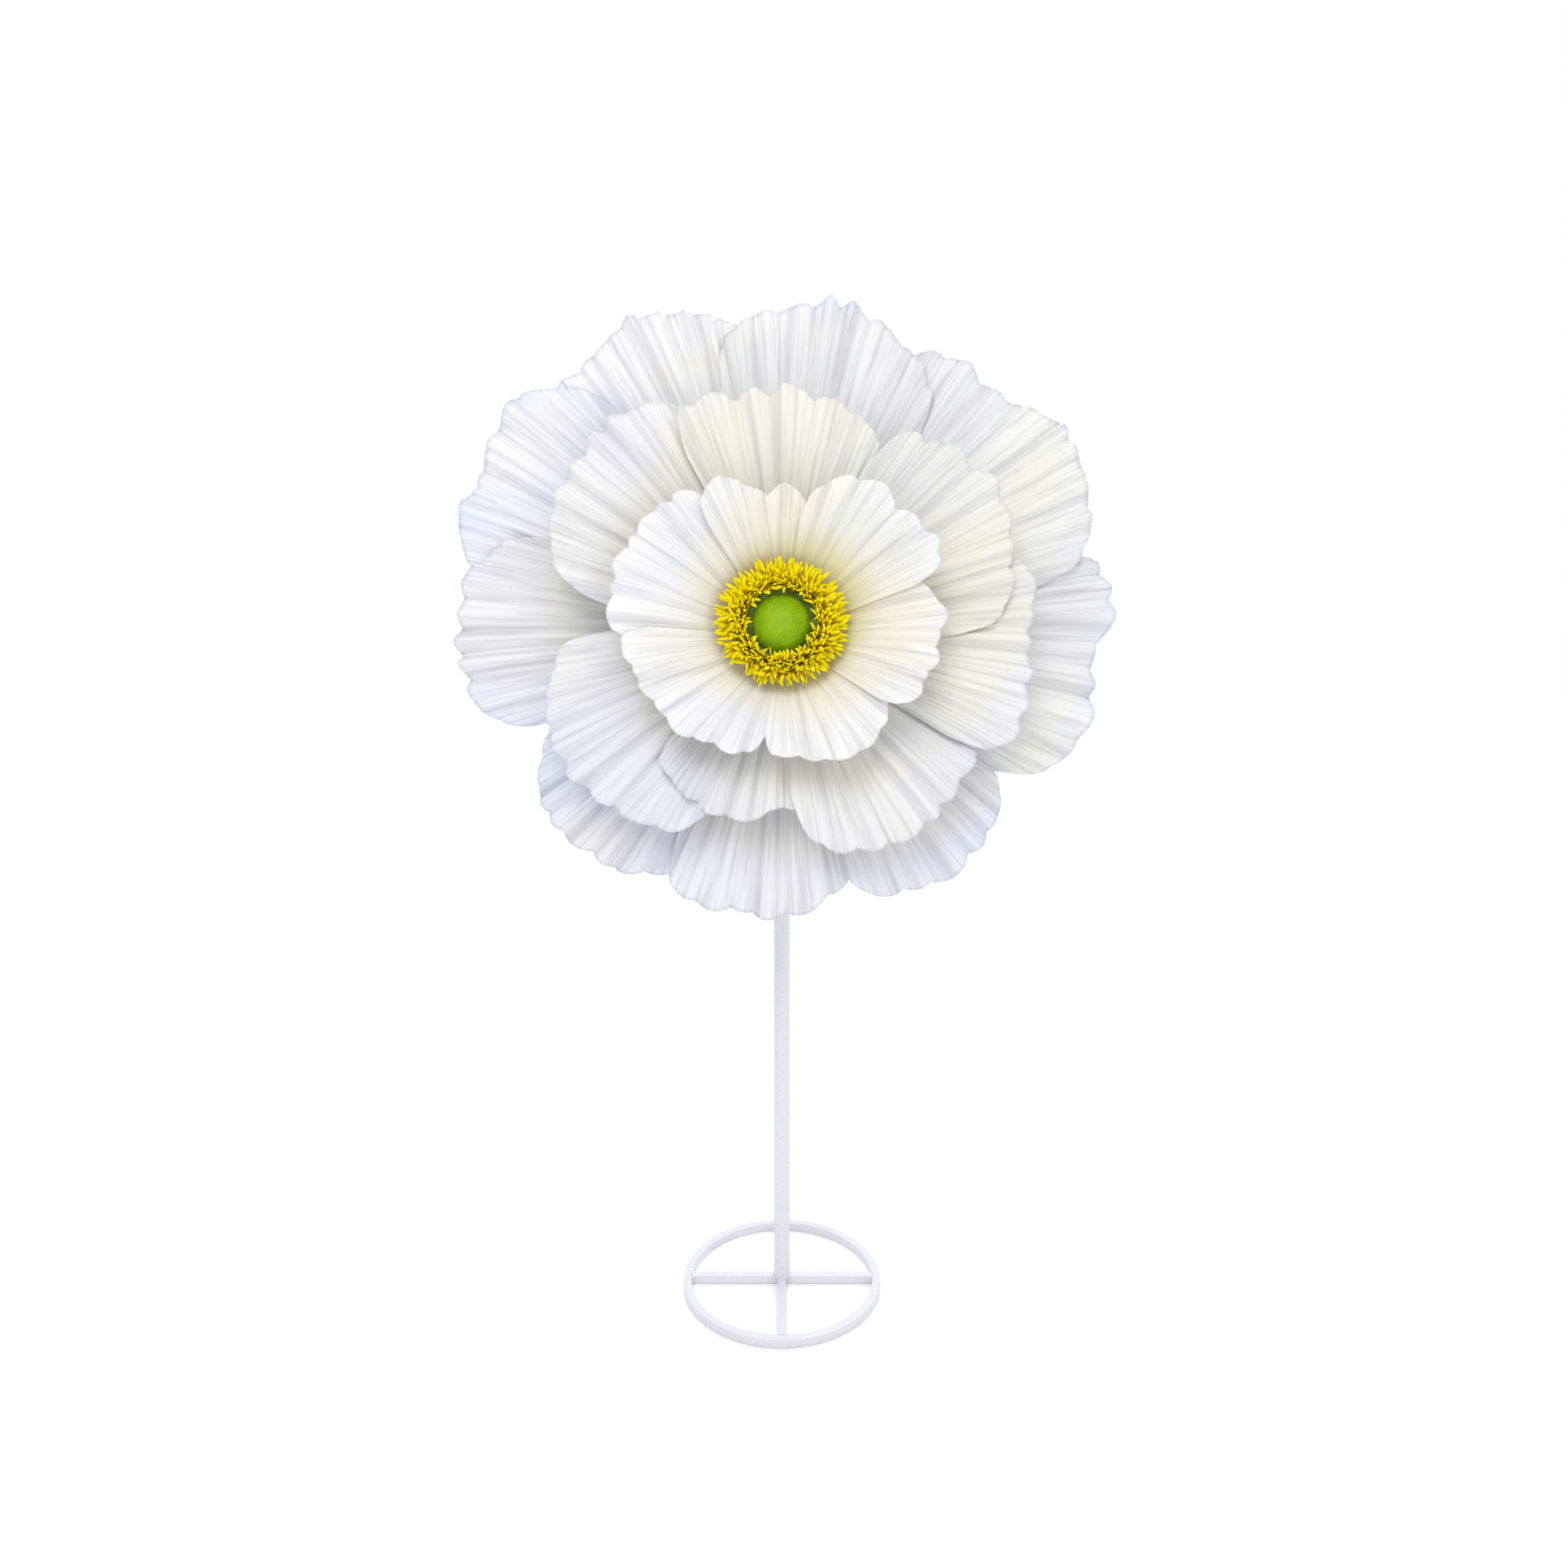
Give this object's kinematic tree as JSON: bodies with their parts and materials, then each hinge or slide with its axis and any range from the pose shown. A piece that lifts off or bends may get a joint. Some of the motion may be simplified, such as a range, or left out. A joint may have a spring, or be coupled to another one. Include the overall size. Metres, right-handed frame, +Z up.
{
  "type": "giant paper flower",
  "caption": "Free-standing giant paper flower: layers of white pleated petals round a yellow fringe and green pod, on a slim white pole with a ring and cross base.",
  "frame": {"origin": "on the floor, at the middle of the underside of the bar that crosses the base ring, under the pole's axis", "axes": "+Z up along the pole, -Y the way the bloom faces, +X to the right of a viewer who faces the bloom"},
  "size_m": [0.6882, 0.3269, 1.135],
  "materials": {
    "white_steel": "white powder coat, satin gloss",
    "bare_steel": "zinc plated steel",
    "plywood": "raw birch plywood",
    "card": "plain thick card",
    "petal_paper": "white pleated satin paper",
    "fringe_paper": "bright yellow cut paper",
    "pod_green": "yellow-green paper over a light ball, finely dimpled",
    "collar_green": "dull green paper"
  },
  "bodies": {
    "root": {"backing_disc": "plywood", "base_bar_back": "white_steel", "base_bar_cross": "white_steel", "base_bar_front": "white_steel", "base_ring": "white_steel", "card_disc_back": "card", "card_disc_front": "card", "centre_core": "card", "flange_plate": "bare_steel", "flange_screw_1": "bare_steel", "flange_screw_2": "bare_steel", "flange_screw_3": "bare_steel", "flange_screw_4": "bare_steel", "fringe_inner": "fringe_paper", "fringe_middle": "fringe_paper", "fringe_outer": "fringe_paper", "petal_inner_1": "petal_paper", "petal_inner_2": "petal_paper", "petal_inner_3": "petal_paper", "petal_inner_4": "petal_paper", "petal_inner_5": "petal_paper", "petal_inner_6": "petal_paper", "petal_middle_1": "petal_paper", "petal_middle_2": "petal_paper", "petal_middle_3": "petal_paper", "petal_middle_4": "petal_paper", "petal_middle_5": "petal_paper", "petal_middle_6": "petal_paper", "petal_middle_7": "petal_paper", "petal_outer_1": "petal_paper", "petal_outer_2": "petal_paper", "petal_outer_3": "petal_paper", "petal_outer_4": "petal_paper", "petal_outer_5": "petal_paper", "petal_outer_6": "petal_paper", "petal_outer_7": "petal_paper", "petal_outer_8": "petal_paper", "petal_outer_9": "petal_paper", "pod": "pod_green", "pod_collar": "collar_green", "pole": "white_steel"}
  },
  "joints": []
}
